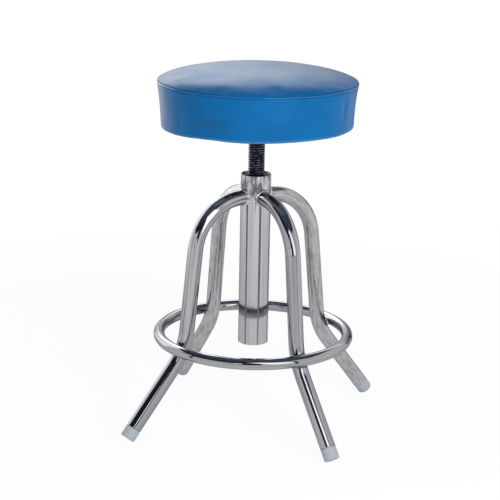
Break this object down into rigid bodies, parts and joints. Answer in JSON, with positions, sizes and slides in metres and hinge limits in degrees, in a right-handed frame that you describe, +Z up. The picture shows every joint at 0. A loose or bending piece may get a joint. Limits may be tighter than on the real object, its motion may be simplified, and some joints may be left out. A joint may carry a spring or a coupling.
{
  "type": "medical stool",
  "caption": "Revolving stool whose round padded seat rises on a threaded post, on splayed bent-tube legs with a foot ring.",
  "frame": {"origin": "on the floor, on the axis of the centre tube", "axes": "+Z up along the screw, legs on the diagonals between X and Y, front towards -Y"},
  "size_m": [0.3644, 0.3644, 0.607],
  "materials": {
    "steel_tube": "polished stainless tube with faint lengthwise draw lines",
    "weld_steel": "bright weld bead",
    "screw_steel": "blackened and oiled",
    "nut_steel": "dark steel",
    "zinc_steel": "zinc plated",
    "carrier_steel": "black paint",
    "plug_plastic": "light blue-grey, satin",
    "guide_plastic": "plain nylon",
    "vinyl": "blue vinyl, satin, fine grain",
    "foam": "open-cell foam",
    "board": "plywood"
  },
  "bodies": {
    "frame": {"centre_tube": "steel_tube", "leg_front_right": "steel_tube", "leg_rear_right": "steel_tube", "leg_rear_left": "steel_tube", "leg_front_left": "steel_tube", "hub_welds": "weld_steel", "foot_plug_front_right": "plug_plastic", "foot_plug_rear_right": "plug_plastic", "foot_plug_rear_left": "plug_plastic", "foot_plug_front_left": "plug_plastic", "foot_ring": "steel_tube", "ring_welds": "weld_steel", "screw_nut": "nut_steel", "nut_welds": "weld_steel"},
    "guide": {"guide_bush": "guide_plastic"},
    "seat": {"screw": "screw_steel", "stop_washer": "zinc_steel", "stop_bolt": "zinc_steel", "seat_flange": "carrier_steel", "bolt_washers": "zinc_steel", "seat_bolts": "zinc_steel", "tee_nuts": "zinc_steel", "seat_board": "board", "seat_foam": "foam", "cover_band": "vinyl", "seam_welt": "vinyl", "cover_top": "vinyl", "cover_staples": "zinc_steel"}
  },
  "joints": [
    {"name": "seat_lift", "type": "slide", "parent": "frame", "child": "guide", "axis": [0, 0, 1], "range_m": [-0.0601, 0.1201]},
    {"name": "seat_turn", "type": "hinge", "parent": "guide", "child": "seat", "pos_m": [0, 0, 0.3], "axis": [0, 0, 1], "range_deg": [-5400, 10800]}
  ],
  "couplings": [
    {"joint": "seat_lift", "follows": "seat_turn", "m_per_rad": 0.00063662}
  ]
}
